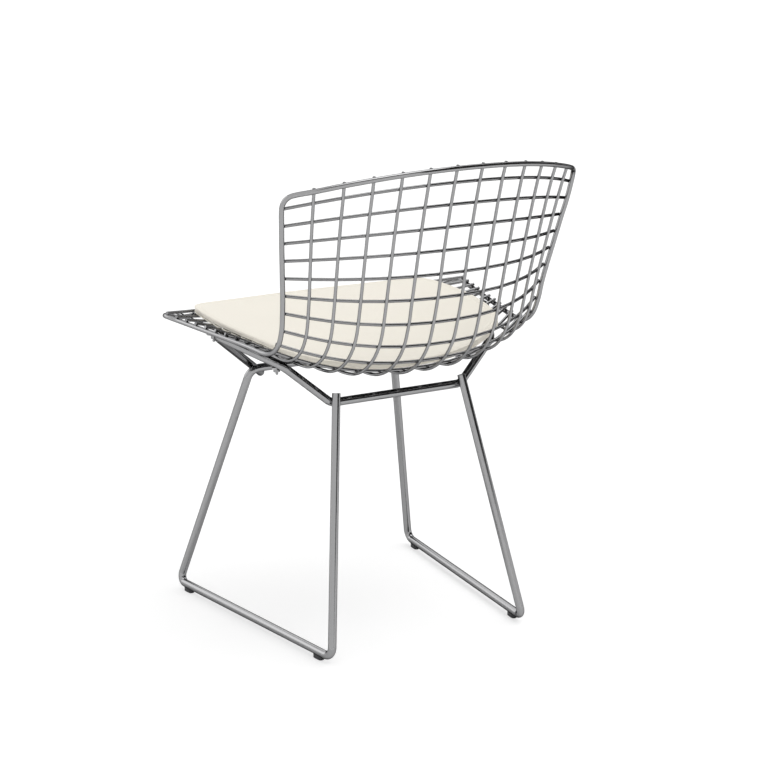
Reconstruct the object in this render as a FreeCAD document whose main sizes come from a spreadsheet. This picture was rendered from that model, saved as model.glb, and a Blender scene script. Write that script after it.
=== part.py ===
import FreeCAD, Part
import Sketcher
import math
import os

# A wire mesh side chair. Millimetres, +Z up, the sitter faces -Y, the floor is at Z = 0.
# The seat and back are one welded shell of bent wires inside a closed rim wire. Two bent rods
# make the sled base, four clamps hold the shell to it, and a loose pad lies in the seat.

Vector = FreeCAD.Vector
tiny = 1e-6
os.makedirs("parts", exist_ok=True)
doc = FreeCAD.newDocument("wire_mesh_chair")
sheet = doc.addObject("Spreadsheet::Sheet", "Sizes")

# The driving dimensions, in millimetres or degrees, or as plain counts and shares
sizes = {
    # Stock
    "rod_diameter": 12.7,  # base rods
    "rim_diameter": 7.5,  # rim wire
    "wire_diameter": 4.8,  # wires of the mesh
    "weld_bite": 0.1,  # how deep a weld sinks one wire into the next
    "crossing_bend": 30,  # radius of the small bend of a wire at a crossing, on the axis
    "arc_turn": 8,  # turn at a crossing, in degrees, from which a wire follows arcs
    "least_turn": 0.15,  # turn, in degrees, below which a wire runs straight on

    # Mesh
    "upright_count": 12,  # wires that run from the top rim to the front rim
    "cross_count": 20,  # wires that run from side to side
    "back_rows": 9,  # cross wires on the back, above the bend

    # Middle section of the shell
    "middle_back_y": 222.9,  # back at 600 mm height, in the middle
    "middle_recline": 13.9,  # lean of the back in the middle, degrees
    "middle_bend": 122,  # radius of the bend in the middle
    "middle_seat_z": 426.9,  # seat height in the middle, at Y = 0
    "middle_seat_rise": 7.2,  # rise of the seat to the front, degrees

    # Side section of the shell
    "side_back_y": 137.9,  # back at 600 mm height, at the rim
    "side_recline": 14.5,  # lean of the side rim, degrees
    "side_bend": 54,  # radius of the bend at the rim
    "side_seat_z": 469.9,  # side rim height at Y = 0
    "side_seat_rise": 3.7,  # rise of the side rim to the front, degrees
    "middle_flare_z": 661,  # height where the back starts to flare back, in the middle
    "side_flare_z": 631,  # height where the side rim starts to flare back
    "flare_radius": 1030,  # radius of that flare

    # Half widths of the shell
    "waist_half": 211,  # half width where the two straight runs would meet
    "back_spread": 0.142,  # gain of half width per mm of rim going up the back
    "seat_spread": 0.208,  # gain of half width per mm of rim going to the front
    "waist_blend": 97,  # rim length over which the waist is rounded, each way

    # Rows of cross wires, as lengths along each section
    "middle_first_row": 221.6,  # first row above the end of the bend, in the middle
    "middle_back_pitch": 33.9,  # first pitch on the back, in the middle
    "middle_pitch_gain": 1.05,  # each pitch on the back grows by this much
    "middle_bend_pitch": 42,  # pitch in the bend, in the middle
    "middle_seat_pitch": 37.4,  # pitch on the seat, in the middle
    "side_first_row": 193.1,  # first row above the end of the bend, at the rim
    "side_back_pitch": 27,  # first pitch on the back, at the rim
    "side_pitch_gain": 0.25,  # each pitch on the back grows by this much
    "side_bend_pitch": 31,  # pitch in the bend, at the rim
    "side_seat_pitch": 23.9,  # pitch on the seat, at the rim

    # Curve of a cross wire between the middle and the rim
    "top_hollow": 2.18,  # power of the curve at the first row
    "seat_hollow": 2.37,  # power of the curve on the seat
    "top_crowding": 0.12,  # how the uprights crowd to the sides at the first row
    "seat_crowding": 0.27,  # how the uprights crowd to the sides on the seat

    # Rim
    "top_rim_row": 0.18,  # place of the top rim, counted in rows
    "front_rim_row": 20.3,  # place of the front rim, counted in rows
    "top_corner_across": 0.115,  # rounding of the top corners, share of the half width
    "top_corner_rows": 1.0,  # rounding of the top corners, in rows
    "front_corner_across": 0.1,  # rounding of the front corners, share of the half width
    "front_corner_rows": 0.7,  # rounding of the front corners, in rows
    "wire_overhang": 2,  # a wire's end past the rim

    # Base
    "glide_height": 5,  # glide below the runner
    "rear_foot_x": 170.8,  # rear foot corner, half width
    "front_foot_x": 219,  # front foot corner, half width
    "front_foot_y": -260.7,  # front foot corner
    "rear_foot_y": 164.5,  # rear foot corner
    "foot_bend": 13,  # bend radius at the foot corners, on the axis
    "front_bar_x": 131.4,  # front crossbar corner, half width
    "front_bar_y": -165.7,  # front crossbar
    "front_bar_z": 379,  # front crossbar
    "bar_bend": 20,  # bend radius at the crossbar corners, on the axis
    "rear_leg_top_x": 110.6,  # cut top of the rear leg, half width
    "rear_leg_top_y": 74.5,  # cut top of the rear leg
    "rear_leg_top_z": 391,  # cut top of the rear leg
    "rear_bar_x": 114.8,  # rear crossbar corner, half width
    "rear_bar_z": 374.7,  # rear crossbar
    "front_mount_y": -64.5,  # bend of the upper rod under the side rim
    "front_mount_x": 243,  # bend of the upper rod under the side rim, half width
    "front_mount_bend": 25,  # bend radius there, on the axis
    "rear_mount_x": 184,  # bend of the upper rod under the shell, half width
    "rear_mount_y": 45.4,  # bend of the upper rod under the shell
    "rear_mount_bend": 25,  # bend radius there, on the axis
    "stub_cross_x": 122,  # where the upper rod passes before the front crossbar
    "stub_rise": 2,  # height of that crossing above the crossbar, axis to axis
    "stub_length": 24,  # end of the upper rod past that crossing

    # Clamps
    "clamp_width": 14,  # along the rim
    "clamp_wall": 3,  # plate above the wire, below the rod and past both
    "clamp_corner": 3,  # rounding of the plates in plan
    "screw_clearance": 0.7,  # between the rod or wire and the screw
    "screw_diameter": 5,  # clamp screw
    "screw_head": 9,  # diameter of its countersunk head
    "screw_tip": 2.5,  # thread past the nut
    "nut_flats": 8,  # across the flats
    "nut_height": 4,  # nut

    # Pad
    "pad_clearance": 0.9,  # pad above the cross wires
    "pad_edge": 7,  # thickness at the edge
    "pad_crown": 5,  # extra thickness in the middle
    "pad_cover": 1.2,  # thickness of the cover
    "pad_front_y": -259.1,  # front edge, in the middle
    "pad_front_corner_y": -205,  # front edge, at the corners
    "pad_front_half": 207,  # half width at the front corners
    "pad_middle_half": 213,  # half width at the widest place
    "pad_middle_y": -88,  # the widest place
    "pad_rear_half": 191,  # half width at the rear corners
    "pad_rear_corner_y": 50,  # rear edge, at the corners
    "pad_rear_y": 110,  # rear edge, in the middle
    "pad_corner": 28,  # rounding of the corners in plan
    "pad_block_height": 900,  # block that the pad is cut from, from the floor up
    "pad_layer_across": 0.98,  # the curved layer it is cut from, share of the half width
    "pad_layer_rear_row": 7.5,  # rear end of that layer, in rows
    "pad_layer_front_row": 21,  # front end of that layer, in rows

    # Glides
    "glide_length": 21,  # along the runner
    "glide_width": 11,  # across the runner
    "glide_corner": 5.4,  # rounding of its ends in plan
    "glide_lip": 2.2,  # how far the glide reaches up the runner
    "glide_bevel": 1.2,  # bevel round the foot of a glide
    "front_glide_back": 29,  # from the front foot corner
    "rear_glide_forward": 34,  # from the rear foot corner
}

for row, (name, value) in enumerate(sizes.items(), 1):
    sheet.set("A" + str(row), name)
    sheet.set("B" + str(row), str(value))
    sheet.setAlias("B" + str(row), name)
doc.recompute()


def get(name):
    """Read one driving dimension back from the sheet."""
    return float(sheet.get(name))


rod_radius = get("rod_diameter") / 2
rim_radius = get("rim_diameter") / 2
wire_radius = get("wire_diameter") / 2
weld_bite = get("weld_bite")
back_rows = get("back_rows")
cross_count = int(get("cross_count"))
upright_count = int(get("upright_count"))
seat_rows_start = back_rows + 2


def section(kind):
    """One section of the shell in the Y-Z plane, as a function of the length along it.

    The length counts from the lower end of the straight back: negative up the back, then
    along the bend, then forwards along the seat.
    """
    recline = math.radians(get(kind + "_recline"))
    rise = math.radians(get(kind + "_seat_rise"))
    radius = get(kind + "_bend")
    lean = math.tan(recline)
    slope = math.tan(rise)
    back_y = get(kind + "_back_y")
    seat_z = get(kind + "_seat_z")
    corner_z = (seat_z - slope * (back_y - 600 * lean)) / (1 + slope * lean)
    corner_y = back_y + (corner_z - 600) * lean
    turn = math.pi / 2 - recline + rise
    reach = radius * math.tan(turn / 2)
    up_y = math.sin(recline)
    up_z = math.cos(recline)
    start_y = corner_y + up_y * reach
    start_z = corner_z + up_z * reach
    end_y = corner_y - math.cos(rise) * reach
    end_z = corner_z + math.sin(rise) * reach
    arc_length = radius * turn
    flare_start = get(kind + "_flare_z")
    flare_radius = get("flare_radius")

    def place(length):
        if length <= 0:
            y = start_y - up_y * length
            z = start_z - up_z * length
            if z > flare_start:
                y += (z - flare_start) ** 2 / (2 * flare_radius)
            return y, z
        if length >= arc_length:
            run = length - arc_length
            return end_y - math.cos(rise) * run, end_z + math.sin(rise) * run
        angle = length / radius
        y = start_y - up_z * radius * (1 - math.cos(angle)) - up_y * radius * math.sin(angle)
        z = start_z + up_y * radius * (1 - math.cos(angle)) - up_z * radius * math.sin(angle)
        return y, z

    return place, arc_length


middle_section, middle_arc = section("middle")
side_section, side_arc = section("side")


def row_length(kind, row):
    """Length along a section at a row; rows count from 1 and may be fractions."""
    steps = min(row, back_rows) - 1
    pitch = get(kind + "_back_pitch")
    gain = get(kind + "_pitch_gain")
    length = -get(kind + "_first_row") + pitch * steps + gain * steps * (steps - 1) / 2
    if row > back_rows:
        length += get(kind + "_bend_pitch") * (min(row, seat_rows_start) - back_rows)
    if row > seat_rows_start:
        length += get(kind + "_seat_pitch") * (row - seat_rows_start)
    return length


def half_width(length):
    """Half width of the shell at a length along the side section, rounded at the waist."""
    back = -get("back_spread")
    seat = get("seat_spread")
    blend = get("waist_blend")
    run = length - side_arc / 2
    width = get("waist_half") + (back if run < blend else seat) * run
    if abs(run) < blend:
        width += (seat - back) / (4 * blend) * (run + blend) ** 2
    return width


def shell_point(across, row):
    """Point of the weld surface: across runs from -1 to 1, row from the top to the front."""
    side_length = row_length("side", row)
    middle_y, middle_z = middle_section(row_length("middle", row))
    side_y, side_z = side_section(side_length)
    share = min(max((row - 1) / (back_rows - 1), 0), 1)
    crowding = get("top_crowding") * (1 - share) + get("seat_crowding") * share
    power = get("top_hollow") * (1 - share) + get("seat_hollow") * share
    out = abs(across)
    spread = (1 + crowding) * out - crowding * out ** 2
    hollow = spread ** power
    x = math.copysign(half_width(side_length) * spread, across)
    y = middle_y + (side_y - middle_y) * hollow
    z = middle_z + (side_z - middle_z) * hollow
    return Vector(x, y, z)


def shell_normal(across, row):
    """Unit normal of the weld surface, towards the sitter."""
    step = 0.01
    place = min(max(across, step - 1), 1 - step)
    sideways = shell_point(place + step, row) - shell_point(place - step, row)
    forwards = shell_point(across, row + step) - shell_point(across, row - step)
    normal = forwards.cross(sideways)
    return normal.normalize()


def layer_point(across, row, rise):
    """Point at a distance from the weld surface, positive towards the sitter."""
    return shell_point(across, row) + shell_normal(across, row) * rise


pieces = []


def keep(piece, name):
    """Take an object as a finished piece of the chair, under its own name."""
    piece.Label = name
    pieces.append(piece)
    return piece


def turn_at(before, point, after):
    """Angle by which a path turns at a point."""
    return (point - before).getAngle(after - point)


def bent_line(name, corners):
    """A line of straight runs and arcs, as an object of the document.

    Each corner is a point and its reach, the distance from it at which the arc starts.
    """
    edges = []
    last = corners[0][0]
    for number in range(1, len(corners) - 1):
        point, reach = corners[number]
        back = (corners[number - 1][0] - point).normalize()
        ahead = (corners[number + 1][0] - point).normalize()
        half_turn = (math.pi - back.getAngle(ahead)) / 2
        start = point + back * reach
        end = point + ahead * reach
        rise = reach * math.tan(half_turn / 2)
        middle = (start + end) * 0.5
        middle += (point - middle).normalize() * rise * math.cos(half_turn)
        if last.distanceToPoint(start) > tiny:
            edges.append(Part.LineSegment(last, start).toShape())
        edges.append(Part.Arc(start, middle, end).toShape())
        last = end
    if last.distanceToPoint(corners[-1][0]) > tiny:
        edges.append(Part.LineSegment(last, corners[-1][0]).toShape())
    line = doc.addObject("Part::Feature", name + "_line")
    line.Shape = Part.Wire(edges)
    return line


def arc_pair(start, leaving, end, arriving):
    """Two corners whose arcs join two points with given directions."""
    chord = end - start
    both = leaving + arriving
    spare = 2 * (1 - leaving.dot(arriving))
    if spare < tiny:
        reach = chord.dot(chord) / (4 * chord.dot(arriving))
    else:
        along = chord.dot(both)
        reach = (math.sqrt(along ** 2 + spare * chord.dot(chord)) - along) / spare
    return [(start + leaving * reach, reach), (end - arriving * reach, reach)]


def without_straights(points):
    """Points without those where the path runs straight on."""
    least = math.radians(get("least_turn"))
    kept = [points[0]]
    for index in range(1, len(points) - 1):
        if turn_at(kept[-1], points[index], points[index + 1]) > least:
            kept.append(points[index])
    return kept + [points[-1]]


def wire_corners(stations):
    """Corners of a wire through points: small bends, and pairs of arcs where it turns more."""
    points = without_straights(stations)
    last = len(points) - 1
    runs = [(points[index + 1] - points[index]).normalize() for index in range(last)]
    turns = [0] + [runs[index].getAngle(runs[index - 1]) for index in range(1, last)] + [0]
    arc_turn = math.radians(get("arc_turn"))
    corners = [(points[0], 0)]
    for index in range(last):
        round_here = turns[index] >= arc_turn
        round_next = turns[index + 1] >= arc_turn
        if round_here or round_next:
            leaving = (runs[index - 1] + runs[index]) if round_here else runs[index - 1]
            arriving = (runs[index] + runs[index + 1]) if round_next else runs[index + 1]
            leaving = leaving.normalize()
            arriving = arriving.normalize()
            corners += arc_pair(points[index], leaving, points[index + 1], arriving)
        elif index + 1 < last and turns[index + 2] < arc_turn:
            reach = get("crossing_bend") * math.tan(turns[index + 1] / 2)
            corners.append((points[index + 1], reach))
    corners.append((points[last], 0))
    return corners


def sweep(name, line, diameter):
    """A round wire along a line; the section takes its size from the sheet."""
    start = line.Shape.Edges[0]
    section_ring = doc.addObject("Part::Circle", name + "_section")
    section_ring.setExpression("Radius", "Sizes." + diameter + " / 2")
    across = FreeCAD.Rotation(Vector(0, 0, 1), start.tangentAt(start.FirstParameter))
    section_ring.Placement = FreeCAD.Placement(start.valueAt(start.FirstParameter), across)
    rod = doc.addObject("Part::Sweep", name + "_sweep")
    rod.Sections = [section_ring]
    rod.Spine = (line, [])
    rod.Solid = True
    rod.Frenet = False
    return keep(rod, name)


def upright_across(index):
    """Place of an upright across the shell; the first one is at the sitter's left."""
    return (upright_count + 1 - 2 * index) / (upright_count + 1)


def lengthened(points, extra):
    """The same path with both ends moved out by a length."""
    first = points[0] + (points[0] - points[1]).normalize() * extra
    last = points[-1] + (points[-1] - points[-2]).normalize() * extra
    return [first] + points[1:-1] + [last]


# Mesh

top_rim_row = get("top_rim_row")
front_rim_row = get("front_rim_row")
upright_rise = weld_bite / 2 - wire_radius
cross_rise = wire_radius - weld_bite / 2
nub = rim_radius + get("wire_overhang")
rows = range(1, cross_count + 1)


def add_mesh_wire(name, line_points):
    """One wire of the mesh, through its welds and past the rim at both ends."""
    corners = wire_corners(lengthened(line_points, nub))
    sweep(name, bent_line(name, corners), "wire_diameter")


uprights = range(1, upright_count + 1)
for index in uprights:
    stations = [top_rim_row] + list(rows) + [front_rim_row]
    line_points = [layer_point(upright_across(index), row, upright_rise) for row in stations]
    add_mesh_wire(f"upright_wire_{index:02d}", line_points)

for row in rows:
    stations = [1] + [upright_across(index) for index in uprights] + [-1]
    line_points = [layer_point(across, row, cross_rise) for across in stations]
    add_mesh_wire(f"cross_wire_{row:02d}", line_points)


# Rim: it lies behind the cross wires at the sides and before the uprights at top and front.

rim_steps = 5


def rim_point(across, row):
    """Axis of the rim at a place on the shell."""
    share = min((1 - abs(across)) / (1 - upright_across(1)), 1)
    lift = share * share * (3 - 2 * share)
    return layer_point(across, row, (rim_radius - weld_bite / 2) * (2 * lift - 1))


def rim_half():
    """Points of the rim on the sitter's left, from the top to the front."""
    top_across = get("top_corner_across")
    top_rows = get("top_corner_rows")
    front_across = get("front_corner_across")
    front_rows = get("front_corner_rows")
    found = []
    for index in range(upright_count // 2, 0, -1):
        found.append((upright_across(index), top_rim_row))
    for step in range(rim_steps + 1):
        angle = math.pi / 2 * step / rim_steps
        across = 1 - top_across * (1 - math.sin(angle))
        found.append((across, top_rim_row + top_rows * (1 - math.cos(angle))))
    found += [(1, row) for row in rows[1:-1]]
    for step in range(rim_steps + 1):
        angle = math.pi / 2 * (1 - step / rim_steps)
        across = 1 - front_across * (1 - math.sin(angle))
        found.append((across, front_rim_row - front_rows * (1 - math.cos(angle))))
    for index in range(1, upright_count // 2 + 1):
        found.append((upright_across(index), front_rim_row))
    return found


left_half = rim_half()
right_half = [(-across, row) for across, row in reversed(left_half)]
rim_points = [rim_point(across, row) for across, row in left_half + right_half]
top_middle = (rim_points[0] + rim_points[-1]) * 0.5
rim_corners = wire_corners([top_middle] + rim_points + [top_middle])
sweep("rim_wire", bent_line("rim_wire", rim_corners), "rim_diameter")


# Base rods

def with_reach(corners):
    """Corners with a bend radius each, turned into corners with a reach each."""
    found = [corners[0]]
    for number in range(1, len(corners) - 1):
        point, radius = corners[number]
        turn = turn_at(corners[number - 1][0], point, corners[number + 1][0])
        found.append((point, radius * math.tan(turn / 2)))
    return found + [corners[-1]]


def mirrored(corners):
    """A run of corners on the sitter's left, followed by its mirror image."""
    other = [(Vector(-point.x, point.y, point.z), radius) for point, radius in corners]
    return corners + other[::-1]


runner_z = get("glide_height") + rod_radius
foot_bend = get("foot_bend")
bar_bend = get("bar_bend")
rear_leg_top = Vector(get("rear_leg_top_x"), get("rear_leg_top_y"), get("rear_leg_top_z"))
rear_foot = Vector(get("rear_foot_x"), get("rear_foot_y"), runner_z)
front_foot = Vector(get("front_foot_x"), get("front_foot_y"), runner_z)
front_corner = Vector(get("front_bar_x"), get("front_bar_y"), get("front_bar_z"))
lower_corners = mirrored(
    [
        (rear_leg_top, 0),
        (rear_foot, foot_bend),
        (front_foot, foot_bend),
        (front_corner, bar_bend),
    ]
)
lower_line = bent_line("lower_rod", with_reach(lower_corners))
lower_rod = sweep("lower_rod", lower_line, "rod_diameter")

rod_contact = get("rod_diameter") - weld_bite
contact_rounds = 12


def upper_corners(front_mount_z, rear_mount_z, rear_bar_y, stub_y):
    """Corners of the upper rod; its four places of contact are the arguments."""
    front_mount = Vector(get("front_mount_x"), get("front_mount_y"), front_mount_z)
    rear_mount = Vector(get("rear_mount_x"), get("rear_mount_y"), rear_mount_z)
    crossing = Vector(get("stub_cross_x"), stub_y, front_corner.z + get("stub_rise"))
    stub_end = crossing + (crossing - front_mount).normalize() * get("stub_length")
    rear_corner = Vector(get("rear_bar_x"), rear_bar_y, get("rear_bar_z"))
    return mirrored(
        [
            (stub_end, 0),
            (front_mount, get("front_mount_bend")),
            (rear_mount, get("rear_mount_bend")),
            (rear_corner, bar_bend),
        ]
    )


def lay_upper_rod():
    """The axis of the upper rod, laid against the rim, the outer upright and the lower rod.

    Its front bends go up to the rim and its side bars up to the outer uprights. Its
    crossbar goes back to the rear legs, and its front stubs back to the front crossbar.
    """
    rim = doc.getObject("rim_wire_line").Shape
    upright = doc.getObject("upright_wire_01_line").Shape
    rear_leg = lower_line.Shape.Edges[0]
    crossbar = Part.Wire(lower_line.Shape.Edges[4:7])
    front_mount_z = side_section(side_arc)[1]
    rear_mount_z = front_mount_z - 2 * rod_radius
    rear_bar_y = rear_leg_top.y - rod_contact
    stub_y = front_corner.y - rod_contact
    line = None
    for attempt in range(contact_rounds):
        if line:
            doc.removeObject(line.Name)
        places = (front_mount_z, rear_mount_z, rear_bar_y, stub_y)
        line = bent_line("upper_rod", with_reach(upper_corners(*places)))
        edges = line.Shape.Edges
        front_mount_z += edges[1].distToShape(rim)[0] - rod_radius - rim_radius
        rear_mount_z += edges[2].distToShape(upright)[0] - rod_radius - wire_radius
        rear_bar_y += Part.Wire(edges[4:7]).distToShape(rear_leg)[0] - rod_contact
        stub_y += edges[0].distToShape(crossbar)[0] - rod_contact
    return line


upper_line = lay_upper_rod()
upper_rod = sweep("upper_rod", upper_line, "rod_diameter")


# Bodies of the small parts

def add_body(name):
    """A body with its own label."""
    body = doc.addObject("PartDesign::Body", name)
    body.Label = name
    return body


def add_sketch(body, role, name):
    """A sketch on one of the body's own planes."""
    sketch = body.newObject("Sketcher::SketchObject", name)
    plane = next(item for item in body.Origin.OriginFeatures if item.Role == role)
    sketch.AttachmentSupport = [(plane, "")]
    sketch.MapMode = "FlatFace"
    return sketch


def add_rectangle(sketch, width, depth):
    """A rectangle about the sketch's origin; width and depth are expressions."""
    corners = [Vector(-1, -1, 0), Vector(1, -1, 0), Vector(1, 1, 0), Vector(-1, 1, 0)]
    for number in range(4):
        ends = corners[number], corners[(number + 1) % 4]
        sketch.addGeometry(Part.LineSegment(*ends))
    for number in range(4):
        following = (number + 1) % 4
        sketch.addConstraint(Sketcher.Constraint("Coincident", number, 2, following, 1))
        direction = "Vertical" if number % 2 else "Horizontal"
        sketch.addConstraint(Sketcher.Constraint(direction, number))
    sketch.addConstraint(Sketcher.Constraint("Symmetric", 0, 1, 1, 2, -1, 1))
    wide = sketch.addConstraint(Sketcher.Constraint("DistanceX", 0, 1, 0, 2, 2))
    deep = sketch.addConstraint(Sketcher.Constraint("DistanceY", 1, 1, 1, 2, 2))
    sketch.setExpression(f"Constraints[{wide}]", width)
    sketch.setExpression(f"Constraints[{deep}]", depth)


def upright_edges(shape):
    """Names of the straight edges that run along Z."""
    names = []
    for number, edge in enumerate(shape.Edges):
        if edge.Curve.TypeId == "Part::GeomLine" and abs(edge.Curve.Direction.z) > 0.99:
            names.append("Edge" + str(number + 1))
    return names


def add_block(name, width, depth, height, corner):
    """A body: a block that stands on its XY plane, with rounded corners in plan."""
    body = add_body(name)
    sketch = add_sketch(body, "XY_Plane", name + "_outline")
    add_rectangle(sketch, width, depth)
    block = body.newObject("PartDesign::Pad", name + "_block")
    block.Profile = sketch
    block.setExpression("Length", height)
    doc.recompute()
    rounding = body.newObject("PartDesign::Fillet", name + "_rounding")
    rounding.Base = (block, upright_edges(block.Shape))
    rounding.setExpression("Radius", corner)
    body.Tip = rounding
    doc.recompute()
    return body


def cut_by(name, piece, tools):
    """A piece with the shapes of its neighbours cut out of it."""
    for number, tool in enumerate(tools):
        cut = doc.addObject("Part::Cut", f"{name}_cut_{number + 1}")
        cut.Base = piece
        cut.Tool = tool
        piece = cut
    doc.recompute()
    return piece


def mirror_image(name, piece):
    """The piece of the other side."""
    image = doc.addObject("Part::Mirroring", name + "_mirror")
    image.Source = piece
    image.Normal = Vector(1, 0, 0)
    return image


# Glides

def add_glide(end, start, other, distance):
    """A glide under the runner, at a distance from one foot corner towards the other."""
    name = f"{end}_glide_left"
    along = (other - start).normalize()
    body = add_block(
        name + "_body",
        "Sizes.glide_width",
        "Sizes.glide_length",
        "Sizes.glide_height + Sizes.glide_lip",
        "Sizes.glide_corner",
    )
    block = body.Tip
    heights = [face.CenterOfMass.z for face in block.Shape.Faces]
    foot_face = "Face" + str(heights.index(min(heights)) + 1)
    bevel = body.newObject("PartDesign::Chamfer", name + "_bevel")
    bevel.Base = (block, [foot_face])
    bevel.setExpression("Size", "Sizes.glide_bevel")
    body.Tip = bevel
    turn = FreeCAD.Rotation(Vector(0, 1, 0), along)
    middle = start + along * distance
    body.Placement = FreeCAD.Placement(Vector(middle.x, middle.y, 0), turn)
    glide = cut_by(name, body, [lower_rod])
    keep(glide, name)
    keep(mirror_image(name, glide), f"{end}_glide_right")


doc.recompute()
add_glide("front", front_foot, rear_foot, get("front_glide_back"))
add_glide("rear", rear_foot, front_foot, get("rear_glide_forward"))


# Clamps

def clamp_place(rod_point, wire_point, wire_run, wire_size):
    """Frame of a clamp and the distance in it from the rod to the wire.

    The plates meet in its XY plane, which lies on the rod and under the wire. X points
    outwards and Y along the wire; the origin is on top of the rod.
    """
    gap = wire_point - rod_point
    gap -= wire_run * gap.dot(wire_run)
    reach = rod_radius + wire_size
    turn = math.acos(min(reach / gap.Length, 1))
    up = FreeCAD.Rotation(wire_run, -math.degrees(turn)).multVec(gap).normalize()
    out = wire_run.cross(up).normalize()
    frame = FreeCAD.Rotation(out, wire_run, up, "ZXY")
    span = math.sqrt(max(gap.Length ** 2 - reach ** 2, 0))
    return FreeCAD.Placement(rod_point + up * rod_radius, frame), span


def nearby(block, candidates):
    """The pieces that run through a block."""
    return [piece for piece in candidates if piece.Shape.distToShape(block.Shape)[0] < tiny]


def add_screw(name, length):
    """A countersunk screw, head up, with the top of its head at the origin."""
    body = add_body(name)
    sketch = add_sketch(body, "XZ_Plane", name + "_profile")
    head = get("screw_head") / 2
    shank = get("screw_diameter") / 2
    neck = shank - head
    outline = [(0, 0), (head, 0), (shank, neck), (shank, -length), (0, -length)]
    for number, (x, z) in enumerate(outline):
        next_x, next_z = outline[(number + 1) % len(outline)]
        sketch.addGeometry(Part.LineSegment(Vector(x, z, 0), Vector(next_x, next_z, 0)))
    turned = body.newObject("PartDesign::Revolution", name + "_turned")
    turned.Profile = sketch
    turned.ReferenceAxis = (sketch, ["V_Axis"])
    turned.Angle = 360
    body.Tip = turned
    return body


def bend_middle(edge):
    """Middle of an arc."""
    return edge.valueAt((edge.FirstParameter + edge.LastParameter) / 2)


def add_clamp(end, rod_point, wire, wire_size):
    """Both clamps at one end of the seat: four plates, and the screw and nut of the left one.

    The screw stands between rod and wire where there is room, and else beyond the wire.
    """
    wire_point = Part.Vertex(rod_point).distToShape(wire.Spine[0].Shape)[1][0][1]
    edge = min(wire.Spine[0].Shape.Edges, key=lambda e: e.distToShape(Part.Vertex(wire_point))[0])
    wire_run = edge.tangentAt(edge.Curve.parameter(wire_point)).normalize()
    if wire_run.y < 0:
        wire_run = -wire_run
    place, span = clamp_place(rod_point, wire_point, wire_run, wire_size)
    wall = get("clamp_wall")
    screw_room = get("screw_clearance") + get("screw_diameter") / 2
    inner = -rod_radius - wall
    if span - wire_size - rod_radius > 2 * screw_room:
        screw_x = (rod_radius + span - wire_size) / 2
        outer = span + wire_size + wall
    else:
        screw_x = span + wire_size + screw_room
        outer = screw_x + get("screw_head") / 2 + wall
    cap_height = 2 * wire_size + wall
    saddle_height = 2 * rod_radius + wall
    screw_length = cap_height + saddle_height + get("nut_height") + get("screw_tip")

    def plate(name, height, bottom):
        body = add_block(
            name + "_body",
            f"{outer - inner} mm",
            "Sizes.clamp_width",
            f"{height} mm",
            "Sizes.clamp_corner",
        )
        middle = Vector((inner + outer) / 2, 0, bottom)
        body.Placement = place.multiply(FreeCAD.Placement(middle, FreeCAD.Rotation()))
        return body

    screw = add_screw(f"{end}_screw", screw_length)
    top = Vector(screw_x, 0, cap_height)
    screw.Placement = place.multiply(FreeCAD.Placement(top, FreeCAD.Rotation()))
    nut_blank = doc.addObject("Part::Prism", f"{end}_nut_blank")
    nut_blank.Polygon = 6
    nut_blank.setExpression("Circumradius", "Sizes.nut_flats / sqrt(3)")
    nut_blank.setExpression("Height", "Sizes.nut_height")
    under = Vector(screw_x, 0, -saddle_height - get("nut_height"))
    nut_blank.Placement = place.multiply(FreeCAD.Placement(under, FreeCAD.Rotation()))
    cap = plate(f"{end}_clamp_cap", cap_height, 0)
    saddle = plate(f"{end}_clamp_saddle", saddle_height, -saddle_height)
    doc.recompute()
    cap = cut_by(f"{end}_clamp_cap", cap, nearby(cap, clamped) + [screw])
    saddle = cut_by(f"{end}_clamp_saddle", saddle, nearby(saddle, clamped) + [screw])
    nut = cut_by(f"{end}_nut", nut_blank, [screw])
    for part, name in ((cap, "cap"), (saddle, "saddle")):
        keep(part, f"{end}_clamp_{name}_left")
        keep(mirror_image(f"{end}_{name}", part), f"{end}_clamp_{name}_right")
    return screw, nut


clamped = [piece for piece in pieces if "wire" in piece.Label] + [upper_rod]
upper_edges = upper_line.Shape.Edges
outer_upright = doc.getObject("upright_wire_01_sweep")
rim = doc.getObject("rim_wire_sweep")
front_screw, front_nut = add_clamp("front", bend_middle(upper_edges[1]), rim, rim_radius)
rear_screw, rear_nut = add_clamp("rear", bend_middle(upper_edges[3]), outer_upright, wire_radius)


def group(name, members):
    """Like fasteners of both sides, as one piece of the list."""
    both = members + [mirror_image(f"{name}_{member.Name}", member) for member in members]
    compound = doc.addObject("Part::Compound", name)
    compound.Links = both
    return keep(compound, name)


group("clamp_screws", [front_screw, rear_screw])
group("clamp_nuts", [front_nut, rear_nut])


# Pad

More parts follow.
